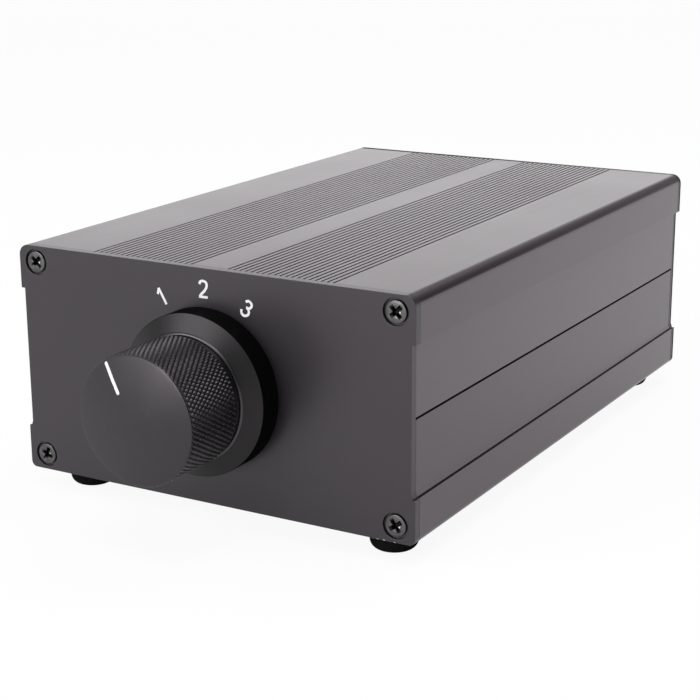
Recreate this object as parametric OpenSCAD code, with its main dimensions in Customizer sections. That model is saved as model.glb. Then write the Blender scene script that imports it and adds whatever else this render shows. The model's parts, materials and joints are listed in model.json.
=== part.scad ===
// Three-way audio source selector in a split extruded case.
// The front faces -Y, the case stands on z = 0, and the knob turns about an axis along Y.
// At rest the knob points to the first of its three positions.

/* [Case] */
// Width of the case over the wide bands of its sides
case_w = 105; // [96:1:140]
// Height of the case without its feet
case_h = 55; // [52:1:80]
// Depth of the case over both end panels
case_d = 160; // [120:1:240]
// Thickness of the end panels
panel_t = 2; // [2:0.5:4]
// Wall thickness of the recessed part of the sides
side_wall = 2; // [1.8:0.1:3]
// Thickness of the roof and of the floor
roof_t = 2.6; // [2:0.1:4]
// Depth of the step from the wide bands to the recessed sides
side_step = 1; // [0.4:0.1:1.6]
// Height of the wide band along the top and the bottom of each side
band_h = 10.5; // [8:0.5:14]
// Height of the groove in the corner above the lower wide band
ledge_groove_h = 0.3; // [0.1:0.1:1]
// Depth of the groove in the corner above the lower wide band
ledge_groove_d = 0.4; // [0.2:0.1:1]
// Radius of the two upper long edges
edge_r = 2.5; // [1:0.5:4]
// Radius of the two lower long edges
low_edge_r = 1.5; // [0.5:0.5:4]

/* [Shell joint] */
// Height of the joint line above the underside of the case
joint_h = 28; // [24:0.5:32]
// Open gap that shows along the joint line
joint_gap = 0.5; // [0.2:0.1:1]
// Thickness of the tongue inside the joint
tongue_t = 0.9; // [0.6:0.1:1.2]
// Height of the tongue above the joint line
tongue_h = 3; // [2:0.5:6]

/* [Roof ribs] */
// Distance between the two innermost grooves, across the flat middle strip
strip_w = 10; // [6:0.5:16]
// Number of grooves in each ribbed band
groove_n = 19; // [5:1:22]
// Spacing of the grooves
groove_pitch = 1.48; // [1:0.02:1.7]
// Width of a groove at the surface
groove_w = 0.5; // [0.3:0.1:0.9]
// Width of a groove at its bottom
groove_floor_w = 0.3; // [0.1:0.1:0.6]
// Depth of a groove
groove_depth = 0.4; // [0.2:0.1:1]

/* [Panel screws] */
// Distance of the screws from the sides of the case
screw_inset_x = 4.8; // [4.2:0.1:6]
// Distance of the screws from the top and the underside of the case
screw_inset_z = 3.85; // [3.6:0.05:5]
// Diameter of the thread
screw_d = 3; // [2.5:0.1:3.4]
// Diameter of the countersunk head
screw_head_d = 5; // [4.6:0.1:5.8]
// Diameter of the counterbore above the countersink
sink_d = 6.1; // [5.9:0.1:7]
// Depth of the counterbore above the countersink
sink_edge = 0.8; // [0.2:0.1:0.9]
// Length of the screw over its head
screw_len = 10; // [7:1:16]
// Height of the head's straight edge
head_land = 0.7; // [0.1:0.05:0.8]
// Width of the cross recess
cross_w = 1.1; // [0.6:0.1:1.3]
// Length of the cross recess
cross_len = 3.4; // [2:0.1:4]
// Depth of the cross recess
cross_depth = 0.7; // [0.4:0.1:0.8]
// Outer diameter of the screw channels in the corners of the shells
channel_d = 6.4; // [5.6:0.2:8]
// Depth of the screw channels' thread past the ends of the screws
channel_spare = 2; // [1:0.5:6]

/* [Feet] */
// Diameter of a foot
foot_d = 11; // [8:0.5:14]
// Height of a foot
foot_h = 5.3; // [3.5:0.1:8]
// Radius of the rounded lower edge of a foot
foot_round = 3; // [1:0.5:3.5]
// Distance of the feet from the sides of the case
foot_inset_x = 10.5; // [8:0.5:20]
// Distance of the feet from the faces of the end panels
foot_inset_y = 9.5; // [8:0.5:30]

/* [Knob] */
// Diameter over the knurled grip
knob_d = 29.6; // [26:0.2:36]
// Length of the knob
knob_len = 22; // [19:0.2:30]
// Diameter of the smooth neck behind the grip
neck_d = 28.2; // [24:0.2:30]
// Length of the smooth neck
neck_len = 5.4; // [4.4:0.2:8]
// Radius of the rounded front edge
rim_r = 0.5; // [0.3:0.1:1.5]
// Rise of the domed face from its edge to its middle
dome_h = 1.2; // [0.6:0.1:2]
// Depth of the bore for the shaft
knob_bore_depth = 14; // [10:0.5:16]
// Inner diameter of the hollow in the back of the knob
hollow_in_d = 13; // [11:0.5:16]
// Outer diameter of the hollow in the back of the knob
hollow_out_d = 23; // [18:0.5:23]
// Depth of the hollow in the back of the knob
hollow_depth = 2; // [1:0.2:2]
// Diameter of the grub screw
grub_d = 3; // [2.5:0.5:3]
// Length of the grub screw
grub_len = 8; // [5:1:11]
// Size of the grub screw's hexagon socket across its flats
grub_hex = 1.5; // [1.2:0.1:1.8]
// Depth of the grub screw's socket
grub_socket_depth = 2; // [1:0.5:3]

/* [Pointer] */
// Width of the white line
pointer_w = 0.8; // [0.4:0.1:2]
// Length of the white line
pointer_len = 7.6; // [4:0.2:12]
// Distance of the line's outer end from the edge of the grip
pointer_margin = 0.7; // [0.6:0.1:3]
// Depth of the filled slot
pointer_depth = 0.5; // [0.2:0.1:1]

/* [Knob seat] */
// Diameter of the seat
seat_d = 37.4; // [34:0.2:48]
// Height of the seat's straight side
seat_side_h = 6; // [4:0.2:8]
// Rise of the sloped front of the seat
seat_rise = 2.4; // [1:0.2:4]
// Width of the raised lip round the seat's mouth
seat_lip_w = 0.5; // [0.3:0.1:1]
// Height of the raised lip above the sloped face
seat_lip_h = 0.5; // [0.2:0.1:0.8]
// Thickness of the seat's floor, which the nut clamps
seat_floor = 1.5; // [1:0.1:3]
// Gap all round between the seat and the neck of the knob
neck_gap = 0.4; // [0.3:0.1:1]

/* [Switch] */
// Angle between two positions
step_angle = 30; // [20:1:36]
// Diameter of the shaft
shaft_d = 6; // [5:0.25:6.5]
// Depth of the flat that the grub screw presses on
shaft_flat = 1.5; // [0.5:0.1:1.8]
// Size across the two flats of the shaft's inner end
tail_flats = 4.4; // [3.5:0.1:4.8]
// Diameter of the shaft's collar
collar_d = 8.4; // [7:0.2:10]
// Thickness of the shaft's collar
collar_t = 1; // [0.6:0.1:2]
// Diameter of the threaded bushing
bush_d = 9; // [8:0.5:10]
// Length of thread that stands out of the nut
bush_end = 0.8; // [0.4:0.1:2]
// Width of the index plate
frame_w = 34; // [33:1:44]
// Height of the index plate
frame_h = 24; // [23:1:30]
// Thickness of the index plate
frame_t = 1.5; // [1:0.1:3]
// Distance of the locating lug above the shaft
lug_offset = 9.5; // [8:0.5:10]
// Diameter of the locating lug
lug_d = 2.8; // [2:0.2:3]
// Length of the locating lug
lug_len = 1.4; // [0.8:0.1:1.4]
// Size of the bushing nut across its flats
nut_flats = 12; // [11:0.5:14]
// Thickness of the bushing nut
nut_t = 2.2; // [1.5:0.1:3]
// Diameter of the washer under the nut
washer_d = 14; // [12:0.5:18]
// Thickness of the washer under the nut
washer_t = 0.6; // [0.4:0.1:1.2]
// Diameter of the shaft's retaining rings
clip_d = 9.2; // [8:0.2:10]
// Thickness of the shaft's retaining rings
clip_t = 0.6; // [0.4:0.1:1]
// Depth of the grooves for the retaining rings
clip_groove = 0.5; // [0.3:0.1:0.7]
// Mouth of the retaining rings
clip_mouth = 3; // [2:0.5:4]

/* [Stops and detent] */
// Thickness of the stop washer
stop_t = 1; // [0.8:0.1:1.5]
// Diameter of the stop washer
stop_d = 11; // [10:0.5:12]
// Distance of the stop pins from the shaft's axis
stop_r = 8; // [7.5:0.1:8.5]
// Width of the stop washer's tab
stop_tab_w = 3; // [2:0.2:4]
// Length of the tab past the middle of the stop pins
stop_tab_over = 1; // [0.5:0.1:1.2]
// Diameter of the stop pins
stop_pin_d = 2; // [1.5:0.1:2.4]
// Angle of the stop washer's tab at rest, clockwise from the top
stop_angle = 150; // [140:5:160]
// Diameter of the detent wheel
wheel_d = 18; // [16:0.5:18.5]
// Thickness of the detent wheel
wheel_t = 3; // [2:0.2:4]
// Radius of the wheel's notches
notch_r = 1.5; // [1:0.1:1.8]
// Distance of the notches' centres outside the wheel's edge
notch_out = 0.5; // [0.3:0.1:0.8]
// Radius of the nose that sits in a notch
nose_r = 1.2; // [0.8:0.1:1.4]
// Thickness of the spring strip
spring_t = 0.4; // [0.2:0.1:0.6]
// Length of the spring strip from its nose to its fixed end
spring_len = 13; // [12:0.5:14.5]
// Length of the spring strip past its nose
spring_tip = 3; // [2:0.5:4]
// Length of the plate's arm along the spring strip
arm_len = 5; // [4:0.5:6]
// Thickness of the arm that carries the spring strip
arm_t = 1.5; // [1:0.1:1.6]
// Diameter of the rivet
rivet_d = 1.6; // [1.2:0.1:2]
// Diameter of the rivet's heads
rivet_head_d = 3; // [2.4:0.2:3.4]
// Height of the rivet's heads
rivet_head_h = 0.6; // [0.4:0.1:1]

/* [Wafer] */
// Diameter of the wafer
wafer_d = 33; // [31:0.5:40]
// Thickness of the wafer
wafer_t = 1.6; // [1:0.2:2.4]
// Width of the wafer's foot on the circuit board
wafer_foot_w = 26; // [24:1:32]
// Diameter of the wafer's opening
wafer_bore_d = 16.6; // [15.6:0.2:18]
// Distance between the two tie screws
tie_span = 26.4; // [25.6:0.2:28]
// Diameter of the tie screws
tie_d = 3; // [2.5:0.1:3.2]
// Diameter of the tie screws' heads
tie_head_d = 5.4; // [5:0.2:6]
// Height of the tie screws' heads
tie_head_h = 2; // [1.5:0.1:3]
// Width of the slot in the heads
tie_slot_w = 0.8; // [0.5:0.1:1]
// Depth of the slot in the heads
tie_slot_depth = 1; // [0.5:0.1:1.2]
// Outer diameter of the spacers between the index plate and the wafer
spacer_d = 6; // [4.6:0.2:6]
// Length of the spacers
spacer_len = 12.5; // [11:0.5:24]
// Diameter of the rotor's hub
hub_d = 9; // [7.6:0.2:9.6]
// Length of the hub behind the wafer
hub_back = 2; // [1:0.5:4]
// Thickness of the rotor blades
blade_t = 0.3; // [0.2:0.1:0.5]
// Outer diameter of the blades' inner arcs
blade_ring_d = 12.8; // [12.4:0.2:13.2]
// Width of a blade's tooth
blade_tooth_w = 2; // [1.4:0.2:2.4]
// Angle that each blade covers
blade_angle = 130; // [125:5:150]
// Width of the contact clips
clip_w = 1.6; // [1:0.2:1.8]
// Distance of the clips' outer ends from the axis
clip_end_r = 12.4; // [11:0.2:13]
// Thickness of the clips' fingers
finger_t = 0.4; // [0.2:0.1:0.6]
// Angle of the first contact, clockwise from the top
first_contact = 10; // [8:1:14]
// Angle of the common contact, clockwise from the top
common_contact = 120; // [115:1:125]
// Spacing of the wafer's pins
pin_pitch = 2.54; // [2:0.02:3]
// Thickness of the wafer's pins
pin_t = 0.6; // [0.4:0.1:0.8]
// Length of the wafer's pins above the circuit board
pin_rise = 5; // [3:0.5:7]

/* [Circuit board] */
// Height of the board's underside above the underside of the case
board_h = 8.5; // [8:0.5:12]
// Thickness of the board
board_t = 1.6; // [0.8:0.2:2]
// Width of the rails that hold the board's edges
rail_d = 2; // [1:0.2:4]
// Thickness of the rails
rail_t = 1; // [0.8:0.1:1.4]
// Length of the pins under the board
pin_end = 1.2; // [0.8:0.1:2]
// Diameter of the board's holes for the pins
pin_hole_d = 1.6; // [1.4:0.1:2]

/* [Jacks] */
// Spacing of the jacks from side to side
jack_pitch_x = 19; // [18:0.5:20]
// Spacing of the two rows of jacks
jack_pitch_z = 16; // [14.5:0.5:18]
// Height of the lower row above the circuit board
jack_row_h = 9; // [8:0.5:10]
// Length of the jacks outside the rear panel
jack_reach = 10; // [9:0.5:14]
// Outer diameter of the jacks' sleeves
sleeve_d = 8.3; // [7.7:0.1:8.5]
// Outer diameter of the sleeves inside their housings, where a shoulder holds them
sleeve_root_d = 9; // [8.7:0.1:9.4]
// Wall of the sleeves
sleeve_wall = 0.6; // [0.4:0.1:0.8]
// Bevel on the end of the sleeves
sleeve_bevel = 0.3; // [0.1:0.1:0.4]
// Diameter of the plug pin's bore
pin_bore_d = 3.24; // [3.2:0.02:3.3]
// Diameter of the relief behind the gripping part of the bore
relief_d = 3.6; // [3.4:0.1:3.8]
// Length of the bore and its relief
socket_depth = 15; // [13:0.5:16]
// Outer diameter of the inner contacts
contact_d = 4.6; // [4.2:0.1:5]
// Distance of the inserts' ends inside the sleeves
insert_sunk = 0.6; // [0.2:0.1:1.5]
// Distance of the contacts' ends inside the inserts
contact_sunk = 0.5; // [0.2:0.1:1.5]
// Diameter of the housings' collars in the rear panel
collar_ring_d = 11; // [10.4:0.2:11.6]
// Height of the collars outside the rear panel
collar_ring_h = 0.6; // [0.2:0.1:1.5]
// Thickness of the housings' wall behind the rear panel
block_wall = 8; // [7:0.5:9]
// Depth of the housings
block_d = 16; // [15:0.5:24]
// Thickness of the housings' thin walls
block_skin = 1.2; // [0.8:0.1:1.3]
// Height of the housings above the upper row
block_top = 7.5; // [6.5:0.5:9]
// Thickness of the strips that lead to the circuit board
strip_t = 0.6; // [0.4:0.1:0.8]
// Width of the strips that lead to the circuit board
strip_lead_w = 1.1; // [0.8:0.1:1.2]
// Distance of the upper ground strips from the middle of their jacks
bypass_x = 6.5; // [6.3:0.1:6.7]
// Diameter of the ground rings
tag_d = 10.4; // [10:0.2:11]
// Distance of the lower contacts' strips behind the housing's wall
lead_near = 2; // [1.5:0.5:2.5]
// Distance of the upper contacts' strips behind the housing's wall
lead_far = 5; // [4:0.5:6]
// Diameter of the housing screws' heads
block_screw_head_d = 5.6; // [5:0.2:6.4]
// Height of the housing screws' heads
block_screw_head_h = 2; // [1.2:0.1:2.6]
// Length of the housing screws' thread
block_screw_len = 8; // [6:0.5:10]

/* [Clearances] */
// Gap between the tongue and the lip of the joint
tongue_gap = 0.1; // [0.05:0.05:0.2]
// Gap all round a thread in its hole
thread_gap = 0.05; // [0.02:0.01:0.1]
// Gap all round a screw or bushing in a clearance hole
hole_gap = 0.15; // [0.1:0.05:0.3]
// Gap under the countersunk heads
sink_gap = 0.03; // [0.02:0.01:0.06]
// Running gap all round the shaft in its bushing
shaft_gap = 0.05; // [0.02:0.01:0.1]
// Gap all round the shaft in the pieces that it drives
key_gap = 0.05; // [0.02:0.01:0.1]
// Axial play of the shaft and of pieces that pass each other
axial_gap = 0.2; // [0.1:0.05:0.3]
// Gap between the nose of the spring and its notch
nose_gap = 0.1; // [0.05:0.05:0.2]
// Gap between the fingers and the blades
finger_gap = 0.2; // [0.1:0.05:0.3]
// Gap all round the rotor in the wafer
rotor_gap = 0.25; // [0.15:0.05:0.4]
// Gap between the stops at the ends of the turn
stop_gap = 0.15; // [0.1:0.05:0.3]
// Gap above the board in its slots and beside its edges
board_gap = 0.2; // [0.1:0.05:0.4]
// Gap between the two jack housings
block_gap = 1; // [0.4:0.2:2]
// Gap all round a contact in its insert
contact_gap = 0.03; // [0.02:0.01:0.1]

/* [Hidden] */
$fn = 64;
// Overlap that keeps cuts from ending on a face
cut = 0.5;
// Heights above the surface that the feet stand on
case_z = foot_h;
axis_z = case_z + case_h / 2;
board_z = case_z + board_h;
board_top = board_z + board_t;
joint_z = case_z + joint_h;
row_z = [board_top + jack_row_h, board_top + jack_row_h + jack_pitch_z];
// The stack in front of the panel: seat, washer, nut, end of thread, ring, knob
nut_base = seat_floor + washer_t;
bush_reach = nut_base + nut_t + bush_end;
clip_reach = bush_reach + axial_gap;
knob_back = clip_reach + clip_t + axial_gap;
knob_reach = knob_back + knob_len;
seat_top = seat_side_h + seat_rise;
neck_end = knob_back + neck_len;
grub_reach = (seat_top + neck_end) / 2;
shaft_reach = knob_back + knob_bore_depth - axial_gap;
// The object is centred front to back over its knob and its jacks
front_y = (knob_reach - jack_reach - case_d) / 2;
front_in = front_y + panel_t;
rear_y = front_y + case_d;
rear_in = rear_y - panel_t;
// Case widths
recess_w = case_w - 2 * side_step;
cavity_w = recess_w - 2 * side_wall;
screw_x = case_w / 2 - screw_inset_x;
screw_z = [case_z + screw_inset_z, case_z + case_h - screw_inset_z];
channel_depth = screw_len + channel_spare;
screw_hole_r = screw_d / 2 + hole_gap;
// The stack behind the panel's inner face, as depths
collar_s = frame_t + axial_gap;
stop_s = collar_s + collar_t;
wheel_s = stop_s + stop_t;
hub_s = wheel_s + wheel_t;
wafer_s = frame_t + spacer_len;
wafer_end_s = wafer_s + wafer_t;
hub_end_s = wafer_end_s + hub_back;
tail_clip_s = hub_end_s + axial_gap;
tail_end_s = tail_clip_s + clip_t + axial_gap;
// Detent and stops
rest_angle = -step_angle;
notch_n = round(360 / step_angle);
notch_floor_r = wheel_d / 2 + notch_out - notch_r;
nose_z = notch_floor_r + nose_gap + nose_r;
arm_x = spring_len - arm_len;
stop_margin = asin((stop_tab_w / 2 + stop_gap) / stop_r) + asin(stop_pin_d / 2 / stop_r);
stop_pin_angles = [stop_angle - stop_margin, stop_angle + 2 * step_angle + stop_margin];
// Wafer
rotor_d = wafer_bore_d - 2 * rotor_gap;
finger_lift = blade_t + finger_gap;
clip_lift = finger_lift + finger_t;
clip_foot_r = wafer_bore_d / 2 + hole_gap;
throw_r = blade_ring_d / 2 + finger_gap;
pole_angles = [0, 180];
throw_angles = [for (i = [0:2]) first_contact + i * step_angle];
pin_n = 2 * (len(throw_angles) + 1);
pin_x = [for (i = [0:pin_n - 1]) (i - (pin_n - 1) / 2) * pin_pitch];
pin_y = front_in + wafer_end_s;
// Jacks
jack_x = [for (i = [-1.5:1:1.5]) i * jack_pitch_x];
block_x = jack_pitch_x;
block_w = 2 * jack_pitch_x - block_gap;
block_wall_y = rear_in - block_wall;
insert_d = sleeve_d - 2 * sleeve_wall;
insert_end = jack_reach - insert_sunk;
contact_end = insert_end - contact_sunk;
lead_y = [block_wall_y - lead_near, block_wall_y - lead_far];
block_screw_z = (row_z[0] + row_z[1]) / 2;
block_screw_r = screw_d / 2;

// Placing

// An outline in X and Z, drawn out along Y
module along_y(y0, y1) {
    translate([0, y1, 0]) rotate([90, 0, 0]) linear_extrude(y1 - y0) children();
}

// Local z points out of the front panel, local y up
module on_front(x, z) {
    translate([x, front_y, z]) rotate([90, 0, 0]) children();
}

// Local z points out of the rear panel
module on_rear(x, z) {
    translate([x, rear_y, z]) rotate([-90, 0, 0]) children();
}

// On the knob's axis, with local z forward from a reach in front of the panel
module at_axis(reach) {
    translate([0, front_y - reach, axis_z]) rotate([90, 0, 0]) children();
}

// An outline on the knob's axis between two depths behind the panel's inner face
module behind(s0, s1) {
    at_axis(-panel_t - s1) linear_extrude(s1 - s0) children();
}

// A turn by a clock angle, seen from the front
module clock(angle) {
    rotate(-angle) children();
}

// At the four screws of an end panel
module front_corners() {
    for (x = [-screw_x, screw_x], z = screw_z) on_front(x, z) children();
}

module rear_corners() {
    for (x = [-screw_x, screw_x], z = screw_z) on_rear(x, z) children();
}

// Outlines

module ring_2d(outer_d, inner_d) {
    difference() {
        circle(d = outer_d);
        circle(d = inner_d);
    }
}

// Wide band of the case, with its flat edge at y = 0 and its round edges up
module band_outline(r) {
    translate([-case_w / 2, 0]) square([case_w, band_h - r]);
    translate([-case_w / 2 + r, 0]) square([case_w - 2 * r, band_h]);
    for (side = [-1, 1]) translate([side * (case_w / 2 - r), band_h - r]) circle(r);
}

// Grooves in the corners between the lower band and the recessed sides
module ledge_grooves() {
    for (side = [0, 1]) mirror([side, 0]) translate([recess_w / 2 - ledge_groove_d, case_z + band_h])
        square([ledge_groove_d + cut, ledge_groove_h]);
}

// Outline of the shells and the panels: wide bands above and below, recessed sides between
module case_outline() {
    difference() {
        union() {
            translate([0, case_z + case_h - band_h]) band_outline(edge_r);
            translate([0, case_z + band_h]) mirror([0, 1]) band_outline(low_edge_r);
            translate([-recess_w / 2, case_z + band_h / 2]) square([recess_w, case_h - band_h]);
        }
        ledge_grooves();
    }
}

module groove_outline() {
    polygon([[-groove_w / 2, cut], [-groove_w / 2, 0], [-groove_floor_w / 2, -groove_depth],
        [groove_floor_w / 2, -groove_depth], [groove_w / 2, 0], [groove_w / 2, cut]]);
}

module roof_grooves() {
    for (side = [-1, 1], i = [0:groove_n - 1])
        translate([side * (strip_w / 2 + i * groove_pitch), case_z + case_h]) groove_outline();
}

// Hollow of a shell, around the round screw channels in its corners
module cavity_outline(z0, z1, channel_z) {
    difference() {
        translate([-cavity_w / 2, z0]) square([cavity_w, z1 - z0]);
        for (x = [-screw_x, screw_x]) translate([x, channel_z]) circle(d = channel_d);
    }
}

module top_profile() {
    lip_z = joint_z + joint_gap / 2;
    tongue_z = joint_z + tongue_h;
    rabbet_w = cavity_w + 2 * (tongue_t + tongue_gap);
    difference() {
        case_outline();
        translate([-case_w, 0]) square([2 * case_w, lip_z]);
        translate([-rabbet_w / 2, 0]) square([rabbet_w, tongue_z]);
        cavity_outline(0, case_z + case_h - roof_t, screw_z[1]);
        roof_grooves();
    }
}

// Rails above and below the edges of the board
module board_rails() {
    for (side = [-1, 1], z = [board_z - rail_t, board_top + board_gap])
        translate([side * cavity_w / 2 - rail_d, z]) square([2 * rail_d, rail_t]);
}

module bottom_profile() {
    edge_z = joint_z - joint_gap / 2;
    tongue_w = cavity_w + 2 * tongue_t;
    difference() {
        union() {
            difference() {
                case_outline();
                translate([-case_w, edge_z]) square([2 * case_w, case_h]);
            }
            translate([-tongue_w / 2, edge_z - cut]) square([tongue_w, tongue_h + joint_gap / 2 + cut]);
        }
        difference() {
            cavity_outline(case_z + roof_t, case_z + case_h, screw_z[0]);
            board_rails();
        }
    }
}

// Threaded holes in both ends of a shell
module channel_holes(z) {
    for (x = [-screw_x, screw_x]) {
        on_front(x, z) translate([0, 0, -panel_t - channel_depth])
            cylinder(d = screw_d + 2 * thread_gap, h = channel_depth + cut);
        on_rear(x, z) translate([0, 0, -panel_t - channel_depth])
            cylinder(d = screw_d + 2 * thread_gap, h = channel_depth + cut);
    }
}

// Case

module top_shell() {
    color("dimgray") difference() {
        along_y(front_in, rear_in) top_profile();
        channel_holes(screw_z[1]);
    }
}

module bottom_shell() {
    color("dimgray") difference() {
        along_y(front_in, rear_in) bottom_profile();
        channel_holes(screw_z[0]);
    }
}

// Countersunk hole with a straight counterbore, whose face is at z = 0
module countersink() {
    cone_h = screw_head_d / 2 - screw_hole_r;
    translate([0, 0, -panel_t - cut]) cylinder(r = screw_hole_r, h = panel_t + 2 * cut);
    translate([0, 0, -sink_edge - cone_h])
        cylinder(r1 = screw_hole_r, r2 = screw_head_d / 2, h = cone_h);
    translate([0, 0, -sink_edge]) cylinder(d = sink_d, h = sink_edge + cut);
}

module front_panel() {
    color([0.2, 0.2, 0.21]) difference() {
        along_y(front_y, front_in) case_outline();
        front_corners() countersink();
        at_axis(-panel_t - cut) {
            cylinder(r = bush_d / 2 + hole_gap, h = panel_t + 2 * cut);
            translate([0, lug_offset, 0]) cylinder(r = lug_d / 2 + hole_gap, h = panel_t + 2 * cut);
        }
    }
}

module rear_panel() {
    color([0.2, 0.2, 0.21]) difference() {
        along_y(rear_in, rear_y) case_outline();
        rear_corners() countersink();
        for (x = jack_x, z = row_z) on_rear(x, z) translate([0, 0, -panel_t - cut])
            cylinder(r = collar_ring_d / 2 + hole_gap, h = panel_t + 2 * cut);
        for (x = [-block_x, block_x]) on_rear(x, block_screw_z) translate([0, 0, -panel_t - cut])
            cylinder(r = block_screw_r + hole_gap, h = panel_t + 2 * cut);
    }
}

// Cross recess whose face is at z = 0
module cross_recess() {
    for (turn = [0, 90]) rotate(turn) translate([-cross_w / 2, -cross_len / 2, -cross_depth])
        cube([cross_w, cross_len, cross_depth + cut]);
}

// Countersunk screw seated in a countersink at z = 0
module panel_screw() {
    head_r = screw_head_d / 2;
    thread_r = screw_d / 2;
    head_z = sink_gap - sink_edge;
    top_z = head_z + head_land;
    end_z = top_z - screw_len;
    difference() {
        rotate_extrude() polygon([[0, top_z], [head_r, top_z], [head_r, head_z],
            [thread_r, head_z - head_r + thread_r], [thread_r, end_z], [0, end_z]]);
        translate([0, 0, top_z]) cross_recess();
    }
}

module front_panel_screws() {
    color([0.15, 0.15, 0.16]) front_corners() panel_screw();
}

module rear_panel_screws() {
    color([0.15, 0.15, 0.16]) rear_corners() panel_screw();
}

module foot_outline() {
    foot_r = foot_d / 2;
    translate([0, foot_round]) square([foot_r, foot_h - foot_round]);
    square([foot_r - foot_round, foot_h]);
    intersection() {
        translate([foot_r - foot_round, foot_round]) circle(foot_round);
        square([foot_r, foot_h]);
    }
}

module rubber_feet() {
    foot_x = case_w / 2 - foot_inset_x;
    foot_y = [front_y + foot_inset_y, rear_y - foot_inset_y];
    color([0.08, 0.08, 0.08]) for (x = [-foot_x, foot_x], y = foot_y)
        translate([x, y, 0]) rotate_extrude() foot_outline();
}

// Knob

// Turned outline of the knob, y = 0 at its back face
module knob_outline() {
    knob_r = knob_d / 2;
    rim_z = knob_len - dome_h;
    face_r = knob_r - rim_r;
    dome_r = (face_r * face_r + dome_h * dome_h) / (2 * dome_h);
    square([neck_d / 2, neck_len]);
    translate([0, neck_len - cut]) square([face_r, rim_z - neck_len + cut]);
    translate([0, neck_len]) square([knob_r, rim_z - neck_len - rim_r]);
    translate([face_r, rim_z - rim_r]) intersection() {
        circle(rim_r);
        translate([-rim_r, -rim_r]) square(2 * rim_r);
    }
    intersection() {
        translate([0, knob_len - dome_r]) circle(dome_r, $fn = 360);
        translate([0, rim_z - cut]) square([face_r, dome_h + cut]);
    }
}

module knob_blank() {
    at_axis(knob_back) rotate_extrude($fn = 256) knob_outline();
}

module pointer_slot() {
    outer_r = knob_d / 2 - pointer_margin - pointer_w / 2;
    inner_r = outer_r - pointer_len + pointer_w;
    floor_reach = knob_reach - dome_h - pointer_depth;
    at_axis(floor_reach) clock(rest_angle) linear_extrude(dome_h + pointer_depth + cut) {
        translate([-pointer_w / 2, inner_r]) square([pointer_w, outer_r - inner_r]);
        for (r = [inner_r, outer_r]) translate([0, r]) circle(d = pointer_w);
    }
}

// Points from the shaft's axis towards the grub screw, opposite the pointer
module along_grub() {
    at_axis(grub_reach) clock(rest_angle + 180) rotate([-90, 0, 0]) children();
}

module knob() {
    color([0.16, 0.16, 0.17]) difference() {
        knob_blank();
        pointer_slot();
        at_axis(knob_back - cut) {
            cylinder(d = shaft_d + 2 * key_gap, h = knob_bore_depth + cut);
            linear_extrude(hollow_depth + cut) ring_2d(hollow_out_d, hollow_in_d);
        }
        along_grub() cylinder(d = grub_d + 2 * thread_gap, h = knob_d);
    }
}

module knob_pointer() {
    color("white") intersection() {
        knob_blank();
        pointer_slot();
    }
}

module knob_grub_screw() {
    flat_r = shaft_d / 2 - shaft_flat;
    color([0.1, 0.1, 0.1]) along_grub() translate([0, 0, flat_r]) difference() {
        cylinder(d = grub_d, h = grub_len);
        translate([0, 0, grub_len - grub_socket_depth])
            cylinder(d = grub_hex * 2 / sqrt(3), h = grub_socket_depth + cut, $fn = 6);
    }
}

module knob_seat() {
    seat_r = seat_d / 2;
    mouth_r = neck_d / 2 + neck_gap;
    lip_r = mouth_r + seat_lip_w;
    hole_r = bush_d / 2 + hole_gap;
    color([0.17, 0.17, 0.18]) at_axis(0) rotate_extrude()
        polygon([[hole_r, 0], [seat_r, 0], [seat_r, seat_side_h], [lip_r, seat_top - seat_lip_h],
            [lip_r, seat_top], [mouth_r, seat_top], [mouth_r, seat_floor], [hole_r, seat_floor]]);
}

// Switch

module tail_outline(gap) {
    intersection() {
        circle(d = shaft_d + 2 * gap);
        square([2 * shaft_d, tail_flats + 2 * gap], center = true);
    }
}

module switch_frame() {
    color("silver") difference() {
        union() {
            behind(0, frame_t) square([frame_w, frame_h], center = true);
            at_axis(-panel_t - frame_t) cylinder(d = bush_d, h = frame_t + panel_t + bush_reach);
            at_axis(-panel_t - frame_t) translate([0, lug_offset, 0])
                cylinder(d = lug_d, h = frame_t + lug_len);
            behind(0, hub_s) translate([arm_x, nose_z + spring_t]) square([arm_len, arm_t]);
        }
        at_axis(-panel_t - frame_t - cut)
            cylinder(d = shaft_d + 2 * shaft_gap, h = frame_t + panel_t + bush_reach + 2 * cut);
        behind(-cut, frame_t + cut) {
            for (side = [-1, 1]) translate([side * tie_span / 2, 0]) circle(d = tie_d + 2 * thread_gap);
            for (angle = stop_pin_angles) clock(angle) translate([0, stop_r]) circle(d = stop_pin_d);
        }
        at_rivet(nose_z) cylinder(d = rivet_d + 2 * thread_gap, h = frame_h);
    }
}

// Upward through the middle of the spring's fixed end, from a height above the axis
module at_rivet(height) {
    translate([arm_x + arm_len / 2, front_in + (wheel_s + hub_s) / 2, axis_z + height]) children();
}

module bushing_washer() {
    color("silver") at_axis(seat_floor) linear_extrude(washer_t) ring_2d(washer_d, bush_d + 2 * thread_gap);
}

module bushing_nut() {
    color("silver") at_axis(nut_base) linear_extrude(nut_t) difference() {
        circle(d = nut_flats * 2 / sqrt(3), $fn = 6);
        circle(d = bush_d + 2 * thread_gap);
    }
}

module switch_shaft() {
    ring_d = shaft_d - 2 * clip_groove;
    color("gainsboro") difference() {
        union() {
            at_axis(-panel_t - stop_s) cylinder(d = shaft_d, h = stop_s + panel_t + shaft_reach);
            behind(collar_s, stop_s) circle(d = collar_d);
            behind(stop_s, tail_end_s) tail_outline(0);
        }
        at_axis(clip_reach) linear_extrude(clip_t) ring_2d(2 * shaft_d, ring_d);
        behind(tail_clip_s, tail_clip_s + clip_t) ring_2d(2 * shaft_d, tail_flats - clip_groove);
        at_axis(knob_back) clock(rest_angle + 180) translate([-shaft_d, shaft_d / 2 - shaft_flat, 0])
            cube([2 * shaft_d, shaft_d, knob_bore_depth]);
    }
}

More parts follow.
